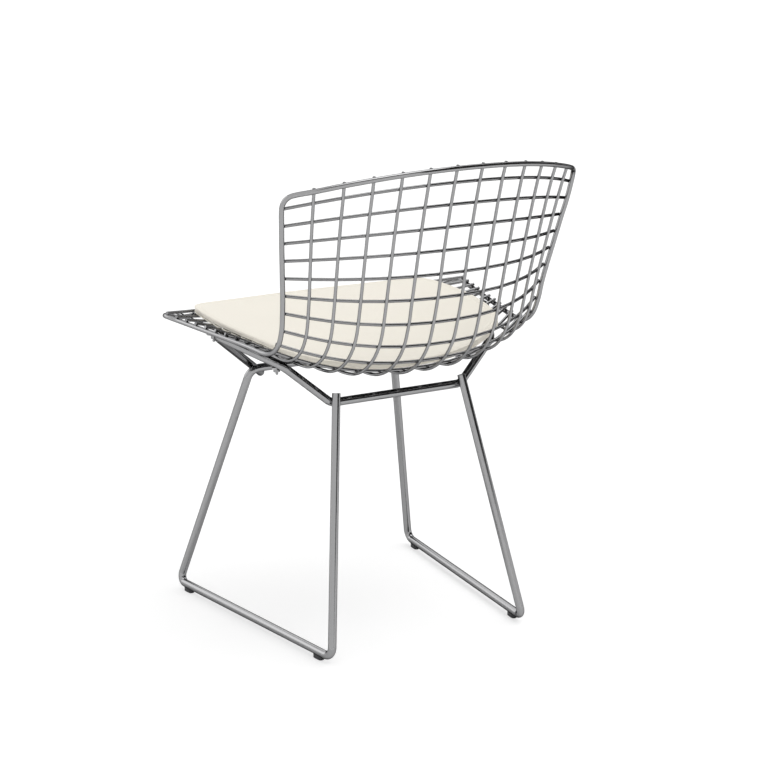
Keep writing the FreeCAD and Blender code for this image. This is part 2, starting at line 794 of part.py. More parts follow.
def pad_outline(name, inset):
    """A tall block with the pad's outline, drawn in by an inset."""
    front = Vector(0, get("pad_front_y") + inset, 0)
    front_corner = Vector(get("pad_front_half") - inset, get("pad_front_corner_y") + inset, 0)
    middle = Vector(get("pad_middle_half") - inset, get("pad_middle_y"), 0)
    rear_corner = Vector(get("pad_rear_half") - inset, get("pad_rear_corner_y") - inset, 0)
    rear = Vector(0, get("pad_rear_y") - inset, 0)
    flip = FreeCAD.Matrix(-1, 0, 0, 0, 0, 1, 0, 0, 0, 0, 1, 0)
    body = add_body(name)
    sketch = add_sketch(body, "XY_Plane", name + "_outline")
    sketch.addGeometry(Part.Arc(flip * front_corner, front, front_corner))
    sketch.addGeometry(Part.Arc(front_corner, middle, rear_corner))
    sketch.addGeometry(Part.Arc(rear_corner, rear, flip * rear_corner))
    sketch.addGeometry(Part.Arc(flip * rear_corner, flip * middle, flip * front_corner))
    block = body.newObject("PartDesign::Pad", name + "_block")
    block.Profile = sketch
    block.setExpression("Length", "Sizes.pad_block_height")
    doc.recompute()
    rounding = body.newObject("PartDesign::Fillet", name + "_rounding")
    rounding.Base = (block, upright_edges(block.Shape))
    rounding.setExpression("Radius", f"Sizes.pad_corner - {inset}")
    body.Tip = rounding
    return body


def pad_layer(name, inset):
    """A curved layer over the seat, between the cross wires and the pad's crowned top."""
    half_across = get("pad_layer_across")
    middle_row = (get("pad_layer_front_row") + get("pad_layer_rear_row")) / 2
    half_rows = (get("pad_layer_front_row") - get("pad_layer_rear_row")) / 2
    bottom = 2 * wire_radius - weld_bite + get("pad_clearance")
    top = bottom + get("pad_edge")
    steps = 6
    shares = [step / steps for step in range(-steps, steps + 1)]
    faces = []
    for rise, crown in ((bottom + inset, 0), (top - inset, get("pad_crown"))):
        grid = []
        for u in shares:
            line = []
            for v in shares:
                height = rise + crown * (1 - u ** 2) * (1 - v ** 2)
                line.append(layer_point(half_across * u, middle_row + half_rows * v, height))
            grid.append(line)
        surface = Part.BSplineSurface()
        surface.interpolate(grid)
        faces.append(surface.toShape())
    walls = []
    for lower, upper in zip(faces[0].Edges, faces[1].Edges):
        walls.append(Part.makeRuledSurface(lower, upper))
    shell = Part.makeShell(faces + walls)
    shell.sewShape()
    layer = doc.addObject("Part::Feature", name)
    layer.Shape = Part.makeSolid(shell)
    return layer


def pad_solid(name, inset):
    """The pad, drawn in by an inset on every side."""
    common = doc.addObject("Part::Common", name)
    common.Base = pad_outline(name + "_outline_block", inset)
    common.Tool = pad_layer(name + "_layer", inset)
    doc.recompute()
    return common


whole_pad = pad_solid("whole_pad", 0)
foam = pad_solid("foam", get("pad_cover"))
cover = cut_by("pad_cover", whole_pad, [foam])
keep(foam, "pad_foam_core")
keep(cover, "pad_cover")

# Checks and export

doc.recompute()
for item in doc.Objects:
    if "Invalid" in item.State or "Error" in item.State:
        raise RuntimeError(item.Name + " could not be computed")
for piece in pieces:
    if piece.Shape.isNull() or not piece.Shape.isValid():
        raise RuntimeError(piece.Label + " has no valid shape")
for piece in pieces:
    piece.Shape.exportStep("parts/" + piece.Label + ".step")
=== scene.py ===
"""Dresses the packed wire mesh chair: chrome wires and rods, seat clips, glides, a cream pad."""

import math

import bmesh
import bpy
from mathutils import Matrix, Vector
from mathutils.bvhtree import BVHTree


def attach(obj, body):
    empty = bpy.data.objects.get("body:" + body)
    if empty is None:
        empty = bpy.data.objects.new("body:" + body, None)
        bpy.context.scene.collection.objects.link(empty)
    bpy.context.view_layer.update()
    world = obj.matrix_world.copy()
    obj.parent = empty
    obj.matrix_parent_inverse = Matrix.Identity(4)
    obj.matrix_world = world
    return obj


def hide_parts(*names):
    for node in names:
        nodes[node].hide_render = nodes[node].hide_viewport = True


bl_info = {
    "name": "Wire Mesh Chair",
    "version": (1, 0, 0),
    "blender": (4, 5, 0),
    "location": "3D View > Sidebar > Chair",
    "description": "Finishes, seat pad, studio and camera for the packed wire mesh chair",
    "category": "Object",
}

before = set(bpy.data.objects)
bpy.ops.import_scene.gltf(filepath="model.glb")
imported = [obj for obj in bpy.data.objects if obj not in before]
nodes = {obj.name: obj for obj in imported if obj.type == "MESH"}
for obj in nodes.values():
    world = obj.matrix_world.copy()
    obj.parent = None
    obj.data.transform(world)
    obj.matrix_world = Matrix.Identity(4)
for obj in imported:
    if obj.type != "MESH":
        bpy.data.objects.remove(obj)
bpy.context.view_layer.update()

WHITE = (1, 1, 1, 1)
TINY = 1e-6
SAME = 1e-9  # numbers that differ by no more count as one
END_REACH = 0.0056  # from a point on a mesh wire's end, it takes in that end and no more
ROD_REACH = 0.014  # the same for a base rod
SEAT_SPACE = Vector((0, -0.15, 0.62))  # a point where the sitter is
CORNER_STEPS = 6  # steps of the arc at each corner of the rim
PLATE_STEPS = 10  # steps of each round end of a clip's plate
SIDES = (("left", 1), ("right", -1))  # the sitter's, and its direction along X

# The cushion, in metres where a length is meant
PAD_WIDER = 0.008  # how far it runs past the solid pad at its sides
ROUNDING_PASSES = 3  # passes that round its corners in plan
ROUNDING_SPOKES = 2  # spokes that each pass looks to either side
RING_CROWDING = 0.8  # power that spreads the inner rings
EDGE_ROUND = 0.012  # width of the rounding towards its edge
EDGE_SHARE = 0.8  # share of the thickness that is left at the edge
WALL_SLOPE = 0.05  # most that the normal of a face on the pad's side rises or falls
EDGE_SLOPE = 0.93, 0.985  # shares of the way out whose slope carries on past the solid's edge
UNDERSIDE_SHADE_SLOPE = -0.6  # faces whose normal points further down than this get the near-black underside, painted shade
SEAMS = ((0.0042, 0.0009), (0.0088, 0.0012))  # distance from the edge, and width, of each seam

# The floor, and the dome of cards that the chrome mirrors
FLOOR_HALF = 60.0  # half of the floor's width
FLOOR_PALE = 0.93  # the floor's own colour
FLOOR_LIGHT = 1.05  # the floor's light, as the camera sees it, where nothing shades it
DOME_RADIUS = 4.0
DOME_CENTRE = 0.3  # height of its middle
DOME_STEPS = 16


# Settings: the kinds that they share, then one group for each part of the chair

LENGTH = {"subtype": "DISTANCE", "unit": "LENGTH"}
PLACE = {"subtype": "TRANSLATION", "unit": "LENGTH", "size": 3}
ANGLE = {"subtype": "ANGLE", "unit": "ROTATION"}
COLOR = {"subtype": "COLOR", "size": 3, "min": 0, "max": 1}


class ChromeSettings(bpy.types.PropertyGroup):
    """Polished chrome plate on the wires and rods."""

    color: bpy.props.FloatVectorProperty(
        name="Colour",
        description="Reflection colour of the plate",
        default=(0.36, 0.36, 0.365),
        **COLOR,
    )
    roughness: bpy.props.FloatProperty(
        name="Roughness", description="Blur of the plate", default=0.11, min=0, max=1
    )
    edge_tint: bpy.props.FloatProperty(
        name="Edge tint",
        description="How much of the light the plate returns at a grazing angle",
        default=0.1,
        min=0,
        max=1,
    )
    # The cross wires get a darker copy of the chrome: painted shade for their darker reflections.
    cross_wire_painted_shade: bpy.props.FloatProperty(
        name="Cross wires",
        description="Brightness of the cross wires against the other chrome",
        default=0.78,
        min=0,
    )


class BaseSettings(bpy.types.PropertyGroup):
    """Base rods."""

    rod_end: bpy.props.FloatProperty(
        name="Rod end",
        description="How far the upper rod's ends run on past the solid's",
        default=0.026,
        min=0.001,
        **LENGTH,
    )


class RimSettings(bpy.types.PropertyGroup):
    """Rim wire of the shell."""

    diameter: bpy.props.FloatProperty(
        name="Diameter",
        description="Diameter of the rim wire",
        default=0.0075,
        min=0.001,
        **LENGTH,
    )
    nub: bpy.props.FloatProperty(
        name="Nub",
        description="Length of a wire's end past the rim at the top and front",
        default=0.002,
        min=0,
        **LENGTH,
    )
    weld: bpy.props.FloatProperty(
        name="Weld",
        description="How deep a weld sinks one wire into the next",
        default=0.0001,
        min=0,
        **LENGTH,
    )
    corner: bpy.props.FloatProperty(
        name="Corner radius",
        description="Radius of the rim's four corners",
        default=0.019,
        min=0.005,
        **LENGTH,
    )
    top_corner: bpy.props.FloatVectorProperty(
        name="Top corner",
        description="Where the rim's top and side would meet, on the sitter's left",
        default=(0.2485, 0.1685, 0.7114),
        **PLACE,
    )
    front_corner: bpy.props.FloatVectorProperty(
        name="Front corner",
        description="Where the rim's front and side would meet, on the sitter's left",
        default=(0.2755, -0.1865, 0.4800),
        **PLACE,
    )
    cut_back: bpy.props.FloatProperty(
        name="Cut back",
        description="How much shorter the top ends of the uprights are than the solids",
        default=0.004,
        min=0,
        **LENGTH,
    )


class ClipSettings(bpy.types.PropertyGroup):
    """Clips that hold the shell to the base: a plate, a bolt and a nut each."""

    front_place: bpy.props.FloatVectorProperty(
        name="Front clip",
        description="Where the front bolt passes its plate, on the sitter's left",
        default=(0.2290, -0.0925, 0.4620),
        **PLACE,
    )
    front_lean: bpy.props.FloatProperty(
        name="Front lean",
        description="Lean of the front bolt's foot outwards",
        default=math.radians(9),
        **ANGLE,
    )
    front_reach: bpy.props.FloatProperty(
        name="Front plate",
        description="Length of the front plate, from the rod to the rim",
        default=0.026,
        **LENGTH,
    )
    rear_place: bpy.props.FloatVectorProperty(
        name="Rear clip",
        description="Where the rear bolt passes its plate, on the sitter's left",
        default=(0.1876, 0.0305, 0.4318),
        **PLACE,
    )
    rear_lean: bpy.props.FloatProperty(
        name="Rear lean",
        description="Lean of the rear bolt's foot outwards",
        default=math.radians(-2),
        **ANGLE,
    )
    rear_reach: bpy.props.FloatProperty(
        name="Rear plate",
        description="Length of the rear plate, across the rod",
        default=0.016,
        **LENGTH,
    )
    width: bpy.props.FloatProperty(
        name="Plate width",
        description="Width of each plate, along the rod",
        default=0.012,
        **LENGTH,
    )
    wall: bpy.props.FloatProperty(
        name="Plate thickness", description="Thickness of each plate", default=0.0025, **LENGTH
    )
    nut_flats: bpy.props.FloatProperty(
        name="Nut", description="Width of each nut across its flats", default=0.010, **LENGTH
    )
    nut_height: bpy.props.FloatProperty(
        name="Nut height", description="Height of each nut", default=0.005, **LENGTH
    )
    bolt_diameter: bpy.props.FloatProperty(
        name="Bolt", description="Diameter of each bolt", default=0.004, **LENGTH
    )
    bolt_tip: bpy.props.FloatProperty(
        name="Bolt tip", description="Length of the bolt past its nut", default=0.0045, **LENGTH
    )
    plate_shade: bpy.props.FloatProperty(
        name="Plate shade",
        description="Brightness of the plates against the other chrome",
        default=1.3,
        min=0,
    )
    bolt_shade: bpy.props.FloatProperty(
        name="Bolt shade",
        description="Brightness of the bolts against the other chrome",
        default=0.9,
        min=0,
    )


class PadSettings(bpy.types.PropertyGroup):
    """Seat pad."""

    color: bpy.props.FloatVectorProperty(
        name="Cover colour",
        description="Colour of the cover",
        default=(0.825, 0.787, 0.704),
        **COLOR,
    )
    rings: bpy.props.IntProperty(
        name="Rings", description="Rings of faces from the middle to the border", default=36, min=8
    )
    border_rings: bpy.props.IntProperty(
        name="Border rings", description="Rings of faces across the sewn border", default=22, min=8
    )
    border: bpy.props.FloatProperty(
        name="Border", description="Width of the sewn border", default=0.014, **LENGTH
    )
    seam_depth: bpy.props.FloatProperty(
        name="Seam depth",
        description="Depth of the two seams beside the edge",
        default=0.0008,
        **LENGTH,
    )
    spokes: bpy.props.IntProperty(
        name="Spokes", description="Faces round the pad", default=288, min=48
    )
    piping_radius: bpy.props.FloatProperty(
        name="Piping radius", description="Radius of the sewn edge", default=0.0011, **LENGTH
    )
    # The pad's underside is near black: painted shade under the seat, for the chrome below to
    # mirror.
    underside_shade_color: bpy.props.FloatVectorProperty(
        name="Base colour",
        description="Colour of the near-black painted shade under the pad",
        default=(0.012, 0.012, 0.013),
        **COLOR,
    )
    crease_depth: bpy.props.FloatProperty(
        name="Crease depth",
        description="Depth of the soft creases in the cover",
        default=0.0007,
        **LENGTH,
    )


class StudioSettings(bpy.types.PropertyGroup):
    """Camera, lamps and backdrop."""

    azimuth: bpy.props.FloatProperty(
        name="Azimuth",
        description="Direction of the camera about Z",
        default=math.radians(149.47),
        **ANGLE,
    )
    elevation: bpy.props.FloatProperty(
        name="Elevation",
        description="Height angle of the camera",
        default=math.radians(14.53),
        **ANGLE,
    )
    location: bpy.props.FloatVectorProperty(
        name="Camera", description="Place of the camera", default=(1.6288, 2.7846, 1.2123), **PLACE
    )
    lens: bpy.props.FloatProperty(
        name="Lens", description="Focal length in millimetres", default=101.2, min=10
    )
    key_strength: bpy.props.FloatProperty(
        name="Key light", description="Strength of the soft light from above", default=1.7, min=0
    )
    fill_strength: bpy.props.FloatProperty(
        name="Fill light", description="Strength of the fill from the side", default=0.55, min=0
    )
    world_light: bpy.props.FloatProperty(
        name="World light", description="Strength of the white surround", default=0.6, min=0
    )
    panel_light: bpy.props.FloatProperty(
        name="Bright panel",
        description="Brightness of the panel before the chair that the chrome mirrors",
        default=1.9,
        min=0,
    )
    flag_shade: bpy.props.FloatProperty(
        name="Flag",
        description="Brightness of the dark card beside the camera that the chrome mirrors",
        default=0.03,
        min=0,
    )
    upper_shade: bpy.props.FloatProperty(
        name="Upper flag",
        description="Brightness of the high card behind the camera that the chrome mirrors",
        default=0.3,
        min=0,
    )
    shadow_share: bpy.props.FloatProperty(
        name="Shadow share",
        description="How much of the floor's light, as the camera sees it, can be shaded",
        default=0.45,
        min=0,
        max=1,
    )


# Shared effects for the materials


def new_group(name, inputs, outputs):
    """A shader node group; an input is (name, kind, default) and an output (name, kind)."""
    group = bpy.data.node_groups.new(name, "ShaderNodeTree")
    for label, kind, default in inputs:
        socket = group.interface.new_socket(label, in_out="INPUT", socket_type="NodeSocket" + kind)
        socket.default_value = default
    for label, kind in outputs:
        group.interface.new_socket(label, in_out="OUTPUT", socket_type="NodeSocket" + kind)
    return group, group.nodes.new("NodeGroupInput"), group.nodes.new("NodeGroupOutput")


def add_node(tree, kind, **values):
    """A node with the given properties, and values for its inputs by name or number."""
    node = tree.nodes.new("ShaderNode" + kind)
    inputs = values.pop("inputs", {})
    for label, value in values.items():
        setattr(node, label, value)
    for label, value in inputs.items():
        node.inputs[label].default_value = value
    return node


def connect(*links):
    """Links, each from an output of one node to an input of another, by name or number."""
    for first, output, second, socket in links:
        first.id_data.links.new(first.outputs[output], second.inputs[socket])


def haze_group():
    """Fine hazing of a polished surface: a mask from soft clouds and thin scratches."""
    group, given, out = new_group(
        "Polish haze",
        [
            ("Cloud scale", "Float", 30.0),
            ("Scratch scale", "Float", 400.0),
            ("Low", "Float", 0.1),
            ("High", "Float", 0.3),
        ],
        [("Value", "Float"), ("Height", "Float")],
    )
    place = add_node(group, "TexCoord")
    cloud = add_node(group, "TexNoise", inputs={"Detail": 4.0, "Roughness": 0.6})
    scratch = add_node(group, "TexNoise", inputs={"Detail": 2.0, "Distortion": 1.5})
    mixed = add_node(group, "Math", operation="MULTIPLY_ADD", inputs={1: 0.35})
    spread = add_node(group, "MapRange", inputs={"From Min": 0.35, "From Max": 1.0})
    connect(
        (place, "Object", cloud, "Vector"),
        (place, "Object", scratch, "Vector"),
        (given, "Cloud scale", cloud, "Scale"),
        (given, "Scratch scale", scratch, "Scale"),
        (scratch, "Fac", mixed, 0),
        (cloud, "Fac", mixed, 2),
        (mixed, "Value", spread, "Value"),
        (given, "Low", spread, "To Min"),
        (given, "High", spread, "To Max"),
        (spread, "Result", out, "Value"),
        (scratch, "Fac", out, "Height"),
    )
    return group


def weave_group():
    """A fine plain weave: a height, and a mask of the threads' tops."""
    outputs = [("Height", "Float"), ("Mask", "Float")]
    group, given, out = new_group("Fine weave", [("Threads per metre", "Float", 1600.0)], outputs)
    place = add_node(group, "TexCoord")
    scaled = add_node(group, "VectorMath", operation="SCALE")
    split = add_node(group, "SeparateXYZ")
    connect(
        (place, "Object", scaled, 0),
        (given, "Threads per metre", scaled, "Scale"),
        (scaled, "Vector", split, "Vector"),
    )
    waves = []
    for axis in ("X", "Y"):
        turn = add_node(group, "Math", operation="MULTIPLY", inputs={1: math.pi})
        wave = add_node(group, "Math", operation="SINE")
        connect((split, axis, turn, 0), (turn, "Value", wave, 0))
        waves.append(wave)
    crossing = add_node(group, "Math", operation="MULTIPLY")
    connect((waves[0], "Value", crossing, 0), (waves[1], "Value", crossing, 1))
    tops = add_node(group, "MapRange", inputs={"From Min": -1.0, "From Max": 1.0})
    connect(
        (crossing, "Value", tops, "Value"),
        (tops, "Result", out, "Height"),
        (tops, "Result", out, "Mask"),
    )
    return group


def mottle_group():
    """Broad soft variation between two colours."""
    group, given, out = new_group(
        "Mottle",
        [
            ("Scale", "Float", 8.0),
            ("First", "Color", WHITE),
            ("Second", "Color", (0.9, 0.9, 0.9, 1)),
        ],
        [("Color", "Color")],
    )
    place = add_node(group, "TexCoord")
    noise = add_node(group, "TexNoise", inputs={"Detail": 5.0, "Roughness": 0.55})
    mixed = add_node(group, "Mix", data_type="RGBA")
    connect(
        (place, "Object", noise, "Vector"),
        (given, "Scale", noise, "Scale"),
        (noise, "Fac", mixed, "Factor"),
        (given, "First", mixed, "A"),
        (given, "Second", mixed, "B"),
        (mixed, "Result", out, "Color"),
    )
    return group


EFFECTS = {"Polish haze": haze_group, "Fine weave": weave_group, "Mottle": mottle_group}


# Materials


def set_inputs(node, values):
    """Sets a node's inputs by name; underscores stand for spaces."""
    for label, value in values.items():
        node.inputs[label.replace("_", " ")].default_value = value


def place_effect(material, effect, **values):
    """A shared effect inside a material, with its own values; it is built once."""
    if effect not in bpy.data.node_groups:
        EFFECTS[effect]()
    node = add_node(material.node_tree, "Group", node_tree=bpy.data.node_groups[effect])
    set_inputs(node, values)
    return node


def new_material(name, **values):
    """A new material and its Principled shader, with values by socket name."""
    material = bpy.data.materials.new(name)
    material.use_nodes = True
    shader = material.node_tree.nodes["Principled BSDF"]
    set_inputs(shader, values)
    return material, shader


def add_bump(material, shader, source, strength, distance):
    """A bump from a node's height into the shader's normal."""
    tree = material.node_tree
    bump = add_node(tree, "Bump", inputs={"Strength": strength, "Distance": distance})
    connect((source, "Height", bump, "Height"), (bump, "Normal", shader, "Normal"))


def scaled(color, share=1.0):
    """A colour times a share, with alpha."""
    return (color[0] * share, color[1] * share, color[2] * share, 1)


def chrome_material(name, shade=1.0):
    """Chrome plate with faint haze and slight differences of tone."""
    settings = bpy.context.scene.chair_chrome
    color = scaled(settings.color, shade)
    tint = scaled(WHITE, settings.edge_tint)
    low, high = settings.roughness * 0.8, settings.roughness * 1.5
    material, shader = new_material(name, Metallic=1.0, Specular_Tint=tint)
    haze = place_effect(material, "Polish haze", Low=low, High=high)
    tone = place_effect(material, "Mottle", Scale=14.0, First=color, Second=scaled(color, 0.9))
    connect((haze, "Value", shader, "Roughness"), (tone, "Color", shader, "Base Color"))
    add_bump(material, shader, haze, strength=0.05, distance=0.00005)
    return material


def plastic_material():
    """Moulded dark plastic of the glides."""
    dark, light = (0.022, 0.022, 0.024, 1), (0.04, 0.04, 0.043, 1)
    scales = {"Cloud_scale": 300.0, "Scratch_scale": 2500.0}
    material, shader = new_material("Glide plastic", Specular_IOR_Level=0.4)
    tone = place_effect(material, "Mottle", Scale=60.0, First=dark, Second=light)
    grain = place_effect(material, "Polish haze", Low=0.4, High=0.6, **scales)
    connect((tone, "Color", shader, "Base Color"), (grain, "Value", shader, "Roughness"))
    add_bump(material, shader, grain, strength=0.2, distance=0.0002)
    return material


def cover_material(settings):
    """Cream cloth with a fine weave, and painted shade between the threads."""
    color = scaled(settings.color)
    look = {"Roughness": 0.78, "Specular_IOR_Level": 0.25}
    sheen = {"Sheen_Weight": 0.15, "Sheen_Roughness": 0.5}
    material, shader = new_material("Cream cloth", **look, **sheen)
    tree = material.node_tree
    threads = place_effect(material, "Fine weave")
    tone = place_effect(material, "Mottle", Scale=9.0, First=color, Second=scaled(color, 0.95))
    # Painted shade: the colour is made darker between the threads, away from their tops.
    shade = {"B": (0.93, 0.925, 0.91, 1)}
    thread_painted_shade = add_node(tree, "Mix", data_type="RGBA", blend_type="MULTIPLY", inputs=shade)
    away = add_node(tree, "Math", operation="SUBTRACT", inputs={0: 1.0})
    connect(
        (threads, "Mask", away, 1),
        (away, "Value", thread_painted_shade, "Factor"),
        (tone, "Color", thread_painted_shade, "A"),
        (thread_painted_shade, "Result", shader, "Base Color"),
    )
    add_bump(material, shader, threads, strength=0.25, distance=0.0002)
    return material


def underside_shade_material(settings):
    """Near-black cloth on the underside of the pad: painted shade under the seat, which the chrome
    below mirrors.
    """
    color = scaled(settings.underside_shade_color)
    material, shader = new_material("Grip cloth", Roughness=0.9, Specular_IOR_Level=0.2)
    threads = place_effect(material, "Fine weave", Threads_per_metre=900.0)
    tone = place_effect(material, "Mottle", Scale=40.0, First=color, Second=scaled(color, 1.6))
    connect((tone, "Color", shader, "Base Color"))
    add_bump(material, shader, threads, strength=0.4, distance=0.0003)
    return material


# Helpers for the pieces


def add_object(name, data):
    """An object of the scene with the given data."""
    piece = bpy.data.objects.new(name, data)
    bpy.context.scene.collection.objects.link(piece)
    return piece


def add_mesh(name, work, material):
    """A finished mesh object from a bmesh, with a material."""
    mesh = bpy.data.meshes.new(name)
    work.to_mesh(mesh)
    work.free()
    mesh.materials.append(material)
    return add_object(name, mesh)


def add_tube(name, points, radius, material, smooth):
    """A closed tube through points: smooth and finely rounded, or straight between them."""
    curve = bpy.data.curves.new(name, "CURVE")
    curve.dimensions = "3D"
    curve.bevel_depth = radius
    curve.bevel_resolution = 5 if smooth else 3
    curve.resolution_u = 6
    curve.materials.append(material)
    spline = curve.splines.new("BEZIER" if smooth else "POLY")
    places = spline.bezier_points if smooth else spline.points
    places.add(len(points) - 1)
    for place, point in zip(places, points):
        place.co = point if smooth else (*point, 1)
        if smooth:
            place.handle_left_type = "AUTO"
            place.handle_right_type = "AUTO"
    spline.use_cyclic_u = True
    return add_object(name, curve)


def coat(mesh, material):
    """Gives a mesh one material and smooth shading."""
    mesh.materials.clear()
    mesh.materials.append(material)
    mesh.shade_smooth()


def dress(names, material):
    """Gives CAD nodes a material."""
    for name in names:
        coat(nodes[name].data, material)


def named(word):
    """CAD nodes whose name holds a word."""
    return [name for name in nodes if word in name]


def wire_end(name, rating, reach=END_REACH):
    """Centre, outward direction and radius of the flat end of a wire that rates highest."""
    verts = [vert.co.copy() for vert in nodes[name].data.vertices]
    tip = max(verts, key=rating)
    near = [vert for vert in verts if (vert - tip).length < reach]
    ring = list({tuple(round(number, 6) for number in vert): vert for vert in near}.values())
    centre = sum(ring, Vector()) / len(ring)
    spoke = ring[0] - centre
    other = max(ring, key=lambda vert: spoke.cross(vert - centre).length)
    normal = spoke.cross(other - centre).normalized()
    inner = sum(verts, Vector()) / len(verts)
    if normal.dot(centre - inner) < 0:
        normal = -normal
    return centre, normal, (tip - centre).length


# Wires and rim


class CHAIR_OT_cross_wires(bpy.types.Operator):
    """Chrome on the cross wires, in a darker copy: painted shade"""

    bl_idname = "chair.cross_wires"
    bl_label = "Cross Wires"

    def execute(self, context):
        # Painted shade: the cross wires' chrome is made darker than the rest.
        shade = context.scene.chair_chrome.cross_wire_painted_shade
        dress(named("cross_wire"), chrome_material("Wire chrome", shade))
        return {"FINISHED"}


def rounded_corner(last, corner, first, radius):
    """Points of an arc that rounds a corner between the ends of two runs."""
    start = corner + (last - corner).normalized() * radius
    end = corner + (first - corner).normalized() * radius
    weight = math.sin((last - corner).angle(first - corner) / 2)
    points = []
    for step in range(CORNER_STEPS + 1):
        share = step / CORNER_STEPS
        parts = ((1 - share) ** 2, 2 * weight * share * (1 - share), share ** 2)
        point = start * parts[0] + corner * parts[1] + end * parts[2]
        points.append(point / sum(parts))
    return points


class CHAIR_OT_rim(bpy.types.Operator):
    """Rim wire that runs outside all the ends of the mesh wires, with tight corners"""

    bl_idname = "chair.rim"
    bl_label = "Rim Wire"

    def execute(self, context):
        settings = context.scene.chair_rim
        uprights = sorted(named("upright_wire"))
        crosses = sorted(named("cross_wire"))
        top = [wire_end(name, lambda vert: vert.z) for name in uprights]
        right = [wire_end(name, lambda vert: -vert.x) for name in crosses]
        front = [wire_end(name, lambda vert: -vert.y) for name in reversed(uprights)]
        left = [wire_end(name, lambda vert: vert.x) for name in reversed(crosses)]
        outwards = (0, settings.nub, 0, settings.nub)
        sides = [self.side(settings, *row) for row in zip((top, right, front, left), outwards)]
        mirror = Matrix.Diagonal((-1, 1, 1))
        top_corner = Vector(settings.top_corner)
        front_corner = Vector(settings.front_corner)
        corners = [mirror @ top_corner, mirror @ front_corner, front_corner, top_corner]
        runs = []
        for number, run in enumerate(sides):
            ends = (corners[number - 1], corners[number])
            runs.append([point for point in run if self.clear(point, ends, settings.corner)])
        points = []
        for number, run in enumerate(runs):
            following = runs[(number + 1) % len(runs)]
            points += run
            points += rounded_corner(run[-1], corners[number], following[0], settings.corner)
        material = chrome_material("Rim chrome")
        rim = add_tube("rim_tube", points, settings.diameter / 2, material, smooth=True)
        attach(rim, "chair")
        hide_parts("rim_wire")
        return {"FINISHED"}

    def clear(self, point, corners, radius):
        """True for a point that lies before the roundings of both corners."""
        clearance = radius + END_REACH / 2
        return all((point - corner).length > clearance for corner in corners)

    def side(self, settings, ends, outwards):
        """Axis of the rim beside a row of wire ends."""
        past = settings.diameter / 2 + settings.nub
        crossings = [centre - direction * past for centre, direction, radius in ends]
        found = []
        for number, (centre, direction, radius) in enumerate(ends):
            before = crossings[max(number - 1, 0)]
            after = crossings[min(number + 1, len(ends) - 1)]
            normal = (after - before).cross(direction).normalized()
            if normal.dot(crossings[number] - SEAT_SPACE) < 0:
                normal = -normal
            away = radius + settings.diameter / 2 - settings.weld
            found.append(crossings[number] + normal * away + direction * outwards)
        return found


class CHAIR_OT_uprights(bpy.types.Operator):
    """Uprights that end just above the rim"""

    bl_idname = "chair.uprights"
    bl_label = "Uprights"

    def execute(self, context):
        settings = context.scene.chair_rim
        material = chrome_material("Upright chrome")
        for name in sorted(named("upright_wire")):
            centre, direction, radius = wire_end(name, lambda vert: vert.z)
            mesh = nodes[name].data.copy()
            reach = radius * 1.05
            for vert in mesh.vertices:
                if (vert.co - centre).length < reach:
                    vert.co -= direction * settings.cut_back
            coat(mesh, material)
            upright = add_object(name.replace("_wire", ""), mesh)
            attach(upright, "chair")
            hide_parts(name)
        return {"FINISHED"}


# Seat clips


